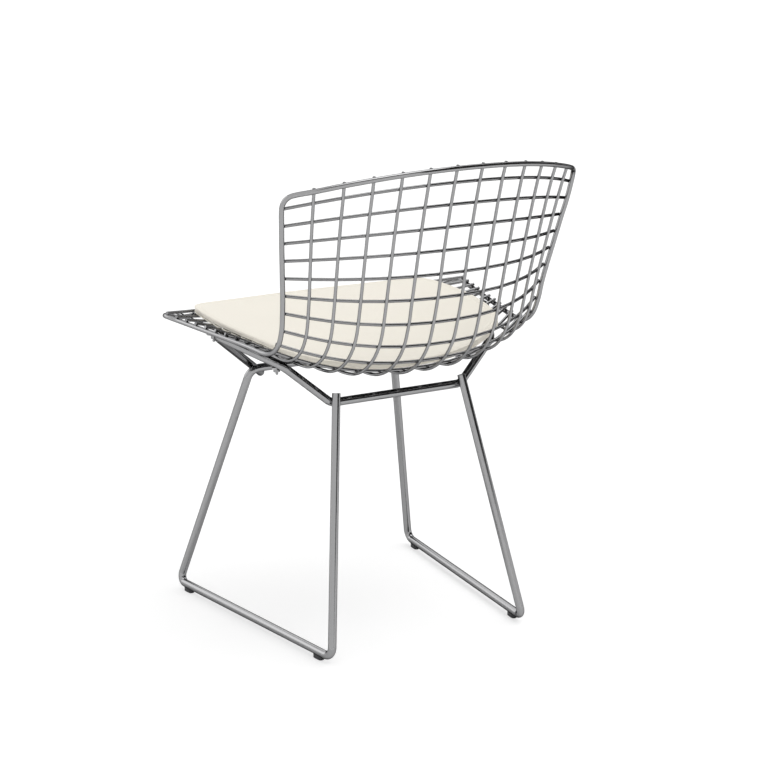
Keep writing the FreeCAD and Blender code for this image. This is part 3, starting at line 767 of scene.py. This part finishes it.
class CHAIR_OT_clips(bpy.types.Operator):
    """Four seat clips: a plate between rod and wire, with a bolt and a nut"""

    bl_idname = "chair.clips"
    bl_label = "Seat Clips"

    def execute(self, context):
        settings = context.scene.chair_clips
        plate = chrome_material("Clip plate", settings.plate_shade)
        steel = chrome_material("Bolt steel", settings.bolt_shade)
        for end in ("front", "rear"):
            place = Vector(getattr(settings, end + "_place"))
            lean = getattr(settings, end + "_lean")
            reach = getattr(settings, end + "_reach")
            for side, sign in SIDES:
                clip = self.plate(settings, f"{end}_clip_plate_{side}", reach, plate)
                bolt = self.bolt(settings, f"{end}_clip_bolt_{side}", steel)
                turn = Matrix.Rotation(-lean, 4, "Y")
                flip = Matrix.Diagonal((sign, 1, 1, 1))
                for piece in (clip, bolt):
                    piece.data.transform(flip @ Matrix.Translation(place) @ turn)
                    if sign < 0:
                        piece.data.flip_normals()
                    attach(piece, "chair")
                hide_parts(f"{end}_clamp_cap_{side}", f"{end}_clamp_saddle_{side}")
                if (end, side) == ("front", "left"):
                    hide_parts("clamp_screws", "clamp_nuts")
        return {"FINISHED"}

    def plate(self, settings, name, reach, material):
        """A plate with round ends and softened edges; its top is at Z = 0."""
        work = bmesh.new()
        half = settings.width / 2
        straight = reach / 2 - half
        outline = []
        for step in range(2 * PLATE_STEPS):
            angle = math.pi * (step + 0.5) / PLATE_STEPS - math.pi / 2
            middle = straight if step < PLATE_STEPS else -straight
            outline.append((middle + half * math.cos(angle), half * math.sin(angle), 0))
        face = work.faces.new([work.verts.new(point) for point in outline])
        raised = bmesh.ops.extrude_face_region(work, geom=[face])["geom"]
        lower = [item for item in raised if isinstance(item, bmesh.types.BMVert)]
        bmesh.ops.translate(work, vec=(0, 0, -settings.wall), verts=lower)
        bmesh.ops.recalc_face_normals(work, faces=work.faces)
        rims = [edge for edge in work.edges if abs(edge.verts[0].co.z - edge.verts[1].co.z) < TINY]
        bmesh.ops.bevel(work, geom=rims, offset=settings.wall / 5, segments=2, affect="EDGES")
        return add_mesh(name, work, material)

    def bolt(self, settings, name, material):
        """A low round head, a hexagonal nut under the plate and the bolt's tapered tip."""
        work = bmesh.new()
        radius = settings.bolt_diameter / 2
        tip_radius = radius * 0.6
        head = radius * 1.9
        crown = head * 0.8
        corner = settings.nut_flats / math.sqrt(3)
        face = corner * 0.88
        bevel = corner * 0.1
        seat = -settings.wall
        under = seat - settings.nut_height
        start = under + TINY
        tip = under - settings.bolt_tip
        nut = [(0, seat), (face, seat), (corner, seat - bevel)]
        nut += [(corner, under + bevel), (face, under), (0, under)]
        thread = [(0, start), (radius, start), (radius, tip + radius / 2)]
        thread += [(tip_radius, tip), (0, tip)]
        cap = [(0, 0), (head, 0), (head, radius * 0.4), (crown, radius * 0.8), (0, radius)]
        for sides, profile in ((6, nut), (20, thread), (24, cap)):
            self.turned(work, sides, profile)
        piece = add_mesh(name, work, material)
        piece.data.shade_smooth()
        piece.data.set_sharp_from_angle(angle=math.radians(35))
        return piece

    def turned(self, work, sides, profile):
        """A closed body turned about Z from (radius, height) points."""
        rows = []
        for radius, height in profile:
            if radius == 0:
                rows.append([work.verts.new((0, 0, height))])
                continue
            ring = []
            for side in range(sides):
                angle = 2 * math.pi * side / sides
                place = (radius * math.cos(angle), radius * math.sin(angle), height)
                ring.append(work.verts.new(place))
            rows.append(ring)
        fresh = []
        for upper, lower in zip(rows, rows[1:]):
            for side in range(sides):
                after = (side + 1) % sides
                corners = [
                    upper[side % len(upper)],
                    upper[after % len(upper)],
                    lower[after % len(lower)],
                    lower[side % len(lower)],
                ]
                fresh.append(work.faces.new(list(dict.fromkeys(corners))))
        bmesh.ops.recalc_face_normals(work, faces=fresh)


# Base


class CHAIR_OT_base(bpy.types.Operator):
    """Chrome on the base rods, the ends of the upper rod, and plastic on the glides"""

    bl_idname = "chair.base"
    bl_label = "Base"

    def execute(self, context):
        settings = context.scene.chair_base
        dress(named("_rod"), chrome_material("Rod chrome"))
        dress(named("glide"), plastic_material())
        steel = chrome_material("Rod end")
        for side, sign in SIDES:
            self.rod_end(f"rod_end_{side}", sign, settings.rod_end, steel)
        return {"FINISHED"}

    def rod_end(self, name, sign, length, material):
        """Carries an end of the upper rod on past the front crossbar."""
        verts = [vert.co for vert in nodes["upper_rod"].data.vertices]
        lowest = min(vert.y for vert in verts)
        near = [vert for vert in verts if vert.y < lowest + ROD_REACH and vert.x * sign > 0]
        corner = min(near, key=lambda vert: vert.z)

        def nearness(vert):
            return -(vert - corner).length

        centre, direction, radius = wire_end("upper_rod", nearness, ROD_REACH)
        work = bmesh.new()
        turn = direction.to_track_quat("Z", "Y").to_matrix().to_4x4()
        place = Matrix.Translation(centre + direction * (length / 2 - TINY)) @ turn
        size = {"radius1": radius, "radius2": radius, "depth": length}
        bmesh.ops.create_cone(work, cap_ends=True, segments=32, matrix=place, **size)
        rims = [
            edge for edge in work.edges if any(len(face.verts) > 4 for face in edge.link_faces)
        ]
        bmesh.ops.bevel(work, geom=rims, offset=radius / 10, segments=2, affect="EDGES")
        stub = add_mesh(name, work, material)
        stub.data.shade_smooth()
        stub.data.set_sharp_from_angle(angle=math.radians(50))
        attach(stub, "chair")


# Pad


def outer_shell(name):
    """The outer surface of a CAD node, as a bmesh without its cavity."""
    work = bmesh.new()
    work.from_mesh(nodes[name].data)
    bmesh.ops.remove_doubles(work, verts=work.verts, dist=TINY)
    left = set(work.verts)
    largest = []
    while left:
        island = [left.pop()]
        for vert in island:
            for edge in vert.link_edges:
                other = edge.other_vert(vert)
                if other in left:
                    left.remove(other)
                    island.append(other)
        reach = max(vert.co.x for vert in island) - min(vert.co.x for vert in island)
        if not largest or reach > largest[0]:
            largest = [reach, island]
    kept = set(largest[1])
    spare = [vert for vert in work.verts if vert not in kept]
    bmesh.ops.delete(work, geom=spare, context="VERTS")
    return work


def plan_outline(shell, spokes):
    """Search tree, middle, and plan outline: the angle and reach of each spoke."""
    tree = BVHTree.FromBMesh(shell)
    low_y = min(vert.co.y for vert in shell.verts)
    high_y = max(vert.co.y for vert in shell.verts)
    middle = Vector((0, (low_y + high_y) / 2, 0))
    walls = [face for face in shell.faces if abs(face.normal.z) < WALL_SLOPE]
    angles = [2 * math.pi * spoke / spokes for spoke in range(spokes)]
    reaches = []
    for angle in angles:
        out = Vector((math.cos(angle), math.sin(angle), 0))
        best = 0
        for face in walls:
            for edge in face.edges:
                first, second = (vert.co - middle for vert in edge.verts)
                before = out.x * first.y - out.y * first.x
                past = out.x * second.y - out.y * second.x
                if before * past <= 0 and abs(before - past) > SAME:
                    point = first.lerp(second, before / (before - past))
                    best = max(best, out.x * point.x + out.y * point.y)
        reaches.append(best)
    for turn in range(ROUNDING_PASSES):
        before = [reaches[spoke - ROUNDING_SPOKES] for spoke in range(spokes)]
        after = [reaches[(spoke + ROUNDING_SPOKES) % spokes] for spoke in range(spokes)]
        reaches = [sum(three) / 3 for three in zip(before, reaches, after)]
    return tree, middle, list(zip(angles, reaches))


def surface_height(tree, x, y, direction):
    """Height of the shell's surface met from above (-1) or below (1)."""
    start = Vector((x, y, 1.0 if direction < 0 else 0.0))
    place = tree.ray_cast(start, Vector((0, 0, direction)))[0]
    return place.z


def plan_place(middle, angle, out):
    """X and Y at a distance out from the middle, in a direction."""
    return middle.x + math.cos(angle) * out, middle.y + math.sin(angle) * out


def edge_reach(reach, angle):
    """Distance of the cushion's edge from its middle, a little wider at the sides."""
    return reach + PAD_WIDER * math.cos(angle) ** 2


def crease(x, y, middle, turn, width, length):
    """A soft groove about a middle, turned by degrees: 1 on its line, falling off to 0."""
    angle = math.radians(turn)
    run_x, run_y = math.cos(angle), math.sin(angle)
    dx, dy = x - middle[0], y - middle[1]
    side = -dx * run_y + dy * run_x
    far = dx * run_x + dy * run_y
    return math.exp(-((side / width) ** 2) - (far / length) ** 4)


class CHAIR_OT_pad(bpy.types.Operator):
    """Cream seat pad with a rounded edge, two seams beside it, piping and soft creases"""

    bl_idname = "chair.pad"
    bl_label = "Seat Pad"

    def execute(self, context):
        settings = context.scene.chair_pad
        shell = outer_shell("pad_cover")
        tree, middle, outline = plan_outline(shell, settings.spokes)
        cover = cover_material(settings)
        pad = self.cushion(settings, tree, middle, outline)
        pad.data.materials.append(cover)
        # Downward faces get the near-black underside, painted shade under the seat.
        pad.data.materials.append(underside_shade_material(settings))
        for face in pad.data.polygons:
            face.material_index = 1 if face.normal.z < UNDERSIDE_SHADE_SLOPE else 0
        pieces = [pad]
        for name, height in (("pad_piping_top", 1), ("pad_piping_bottom", -1)):
            pieces.append(self.piping(name, settings, tree, middle, outline, height, cover))
        for piece in pieces:
            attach(piece, "seat_pad")
        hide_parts("pad_cover", "pad_foam_core")
        shell.free()
        return {"FINISHED"}

    def surfaces(self, tree, middle, reach, angle, share):
        """Top and bottom of the solid pad at a share of the way to its outline, and past it."""
        near, far = EDGE_SLOPE

        def levels(part):
            x, y = plan_place(middle, angle, part * reach)
            return Vector((surface_height(tree, x, y, -1), surface_height(tree, x, y, 1)))

        if share <= far:
            return levels(share)
        edge = levels(far)
        return edge + (edge - levels(near)) * (share - far) / (far - near)

    def cushion(self, settings, tree, middle, outline):
        """The padded body: rings of its top and bottom, joined round the side."""
        shares = self.ring_shares(settings)
        verts = []
        for side in (1, -1):
            for share, from_edge in shares:
                for angle, reach in outline:
                    edge = edge_reach(reach, angle)
                    out = (edge - settings.border) * share + settings.border * from_edge
                    levels = self.surfaces(tree, middle, reach, angle, out / reach)
                    gap = max(edge - out, 0)
                    x, y = plan_place(middle, angle, out)
                    verts.append((x, y, self.level(settings, levels, gap, side, x, y)))
        for level in self.surfaces(tree, middle, 0, 0, 0):
            verts.append((middle.x, middle.y, level))
        mesh = bpy.data.meshes.new("seat_pad_cushion")
        mesh.from_pydata(verts, [], self.faces(len(outline), len(shares)))
        work = bmesh.new()
        work.from_mesh(mesh)
        bmesh.ops.recalc_face_normals(work, faces=work.faces)
        work.to_mesh(mesh)
        work.free()
        mesh.shade_smooth()
        return add_object("seat_pad_cushion", mesh)

    def level(self, settings, levels, gap, side, x, y):
        """Height of the top (1) or bottom (-1) at a gap from the cushion's edge."""
        top, bottom = levels
        fall = max(1 - gap / EDGE_ROUND, 0)
        full = EDGE_SHARE + (1 - EDGE_SHARE) * math.sqrt(1 - fall ** 2)
        level = (top + bottom) / 2 + side * ((top - bottom) / 2 * full)
        if side > 0:
            level -= self.creases(settings, x, y) + self.seams(settings, gap)
        return level

    def faces(self, spokes, rings):
        """Faces of the rings, of the middles of top and bottom, and of the side."""
        found = []
        hubs = 2 * rings * spokes
        for side in (0, 1):
            start = side * rings * spokes
            for spoke in range(spokes):
                after = (spoke + 1) % spokes
                found.append((start + spoke, start + after, hubs + side))
                for ring in range(rings - 1):
                    near = start + ring * spokes
                    far = near + spokes
                    found.append((near + spoke, far + spoke, far + after, near + after))
        top = (rings - 1) * spokes
        bottom = top + rings * spokes
        for spoke in range(spokes):
            after = (spoke + 1) % spokes
            found.append((top + spoke, bottom + spoke, bottom + after, top + after))
        return found

    def ring_shares(self, settings):
        """Each ring's place: its share of the inner part and its share of the border."""
        rings, steps = settings.rings, settings.border_rings
        inner = [((ring / rings) ** RING_CROWDING, 0) for ring in range(1, rings + 1)]
        border = [(1, step / steps) for step in range(1, steps + 1)]
        return inner + border

    def seams(self, settings, gap):
        """Depth of the two seams that run round the pad at a distance from its edge."""
        found = sum(math.exp(-(((gap - place) / width) ** 2)) for place, width in SEAMS)
        return found * settings.seam_depth

    def creases(self, settings, x, y):
        """Depth of the soft creases at a place."""
        found = crease(x, y, (-0.01, 0.02), turn=118, width=0.006, length=0.09)
        found += 0.6 * crease(x, y, (0.10, -0.06), turn=100, width=0.009, length=0.08)
        found += 0.5 * crease(x, y, (-0.11, -0.10), turn=80, width=0.010, length=0.07)
        return found * settings.crease_depth

    def piping(self, name, settings, tree, middle, outline, height, material):
        """A sewn edge round the pad, as a tube along the top (1) or bottom (-1) of its side."""
        points = []
        for angle, reach in outline:
            top, bottom = self.surfaces(tree, middle, reach, angle, 1)
            level = (top + bottom) / 2 + (top - bottom) / 2 * EDGE_SHARE * height
            points.append((*plan_place(middle, angle, edge_reach(reach, angle)), level))
        return add_tube(name, points, settings.piping_radius, material, smooth=False)


# Studio


class CHAIR_OT_studio(bpy.types.Operator):
    """White floor, soft lamps and the camera"""

    bl_idname = "chair.studio"
    bl_label = "Studio"

    def execute(self, context):
        settings = context.scene.chair_studio
        self.camera(settings)
        self.world(settings)
        self.floor(settings)
        self.reflected(settings)
        self.lamps(settings)
        context.scene.view_settings.view_transform = "Standard"
        return {"FINISHED"}

    def camera(self, settings):
        """The photograph's viewpoint."""
        data = bpy.data.cameras.new("Camera")
        data.lens = settings.lens
        data.sensor_width = 36
        data.clip_end = 50
        camera = add_object("Camera", data)
        camera.location = settings.location
        turn = Matrix.Rotation(settings.azimuth, 4, "Z")
        tilt = Matrix.Rotation(math.pi / 2 - settings.elevation, 4, "X")
        camera.rotation_euler = (turn @ tilt).to_euler()
        bpy.context.scene.camera = camera

    def world(self, settings):
        """A white surround; the camera and reflections see it at full white."""
        world = bpy.data.worlds.new("Studio")
        world.use_nodes = True
        tree = world.node_tree
        light, out = tree.nodes["Background"], tree.nodes["World Output"]
        set_inputs(light, {"Color": WHITE, "Strength": settings.world_light})
        seen = add_node(tree, "Background", inputs={"Color": WHITE, "Strength": 1.0})
        path = add_node(tree, "LightPath")
        mirrored = add_node(tree, "Math", operation="MAXIMUM")
        either = add_node(tree, "Math", operation="MAXIMUM")
        mixed = add_node(tree, "MixShader")
        connect(
            (path, "Is Glossy Ray", mirrored, 0),
            (path, "Is Transmission Ray", mirrored, 1),
            (path, "Is Camera Ray", either, 0),
            (mirrored, "Value", either, 1),
            (either, "Value", mixed, "Fac"),
            (light, "Background", mixed, 1),
            (seen, "Background", mixed, 2),
            (mixed, "Shader", out, "Surface"),
        )
        bpy.context.scene.world = world

    def floor(self, settings):
        """A large pale floor that keeps the chair's soft shadow."""
        mesh = bpy.data.meshes.new("floor")
        half = FLOOR_HALF
        corners = [(-half, -half, 0), (half, -half, 0), (half, half, 0), (-half, half, 0)]
        mesh.from_pydata(corners, [], [(0, 1, 2, 3)])
        add_object("floor", mesh)
        look = {"Roughness": 0.9, "Specular_IOR_Level": 0.1, "Emission_Color": WHITE}
        material, shader = new_material("Floor", **look)
        tree = material.node_tree
        path = add_node(tree, "LightPath")
        own, seen = scaled(WHITE, FLOOR_PALE), scaled(WHITE, settings.shadow_share)
        shade = add_node(tree, "Mix", data_type="RGBA", inputs={"A": own, "B": seen})
        glow = FLOOR_LIGHT - settings.shadow_share
        lift = add_node(tree, "Math", operation="MULTIPLY", inputs={1: glow})
        connect(
            (path, "Is Camera Ray", shade, "Factor"),
            (shade, "Result", shader, "Base Color"),
            (path, "Is Camera Ray", lift, 0),
            (lift, "Value", shader, "Emission Strength"),
        )
        mesh.materials.append(material)

    def reflected(self, settings):
        """What only the chrome mirrors: a bright panel before the chair and two dark flags."""
        self.card("bright_panel", settings.panel_light, turns=(235, 325), heights=(6, 36))
        self.card("dark_flag", settings.flag_shade, turns=(95, 190), heights=(3, 68))
        self.card("upper_flag", settings.upper_shade, turns=(30, 95), heights=(32, 68))

    def card(self, name, strength, turns, heights):
        """A card that only the chrome sees, between two directions and two height angles."""
        count = DOME_STEPS + 1
        verts, faces = [], []
        for row in range(count):
            height = math.radians(heights[0] + (heights[1] - heights[0]) * row / DOME_STEPS)
            reach = DOME_RADIUS * math.cos(height)
            z = DOME_CENTRE + DOME_RADIUS * math.sin(height)
            for column in range(count):
                turn = math.radians(turns[0] + (turns[1] - turns[0]) * column / DOME_STEPS)
                verts.append((reach * math.cos(turn), reach * math.sin(turn), z))
        for row in range(DOME_STEPS):
            for column in range(DOME_STEPS):
                corner = row * count + column
                above = corner + count
                faces.append((corner, corner + 1, above + 1, above))
        mesh = bpy.data.meshes.new(name)
        mesh.from_pydata(verts, [], faces)
        material, shader = new_material(name, Roughness=1.0, Specular_IOR_Level=0.0)
        light = {"Emission Color": WHITE, "Emission Strength": strength}
        set_inputs(shader, {"Base Color": scaled(WHITE, 0), **light})
        mesh.materials.append(material)
        card = add_object(name, mesh)
        for rays in ("camera", "diffuse", "shadow", "transmission"):
            setattr(card, "visible_" + rays, False)

    def lamps(self, settings):
        """One broad soft light from above, and a weak fill from the sitter's left."""
        self.sun("Key", settings.key_strength, spread=70, direction=(0.35, -0.15, -1.0))
        aim = (-0.8, -0.45, -0.12)
        fill = self.sun("Fill", settings.fill_strength, spread=50, direction=aim)
        fill.data.use_shadow = False
        fill.visible_glossy = False

    def sun(self, name, strength, spread, direction):
        """A soft sun lamp: its spread is an angle in degrees."""
        data = bpy.data.lights.new(name, "SUN")
        data.energy = strength
        data.angle = math.radians(spread)
        lamp = add_object(name, data)
        lamp.rotation_euler = Vector(direction).to_track_quat("-Z", "Y").to_euler()
        return lamp


# Sidebar and registration


class CHAIR_PT_panel(bpy.types.Panel):
    """Sidebar panel that lists the steps and their settings."""

    bl_idname = "CHAIR_PT_panel"
    bl_label = "Wire Mesh Chair"
    bl_space_type = "VIEW_3D"
    bl_region_type = "UI"
    bl_category = "Chair"

    def draw(self, context):
        for step in STEPS:
            self.layout.operator(step.bl_idname)
        for name, kind in SETTINGS:
            box = self.layout.box()
            box.label(text=kind.__doc__)
            for label in kind.__annotations__:
                box.prop(getattr(context.scene, name), label)


SETTINGS = (
    ("chair_chrome", ChromeSettings),
    ("chair_rim", RimSettings),
    ("chair_base", BaseSettings),
    ("chair_clips", ClipSettings),
    ("chair_pad", PadSettings),
    ("chair_studio", StudioSettings),
)
STEPS = (
    CHAIR_OT_cross_wires,
    CHAIR_OT_rim,
    CHAIR_OT_uprights,
    CHAIR_OT_base,
    CHAIR_OT_clips,
    CHAIR_OT_pad,
    CHAIR_OT_studio,
)


def register():
    """Adds the settings, the operators and the panel."""
    for name, kind in SETTINGS:
        bpy.utils.register_class(kind)
        setattr(bpy.types.Scene, name, bpy.props.PointerProperty(type=kind))
    for kind in STEPS + (CHAIR_PT_panel,):
        bpy.utils.register_class(kind)


def unregister():
    """Takes them away again."""
    for kind in (CHAIR_PT_panel,) + STEPS[::-1]:
        bpy.utils.unregister_class(kind)
    for name, kind in SETTINGS[::-1]:
        delattr(bpy.types.Scene, name)
        bpy.utils.unregister_class(kind)


def main():
    """Dresses the chair, step by step."""
    register()
    bpy.ops.chair.cross_wires()
    bpy.ops.chair.rim()
    bpy.ops.chair.uprights()
    bpy.ops.chair.base()
    bpy.ops.chair.clips()
    bpy.ops.chair.pad()
    bpy.ops.chair.studio()


if __name__ == "__main__":
    main()
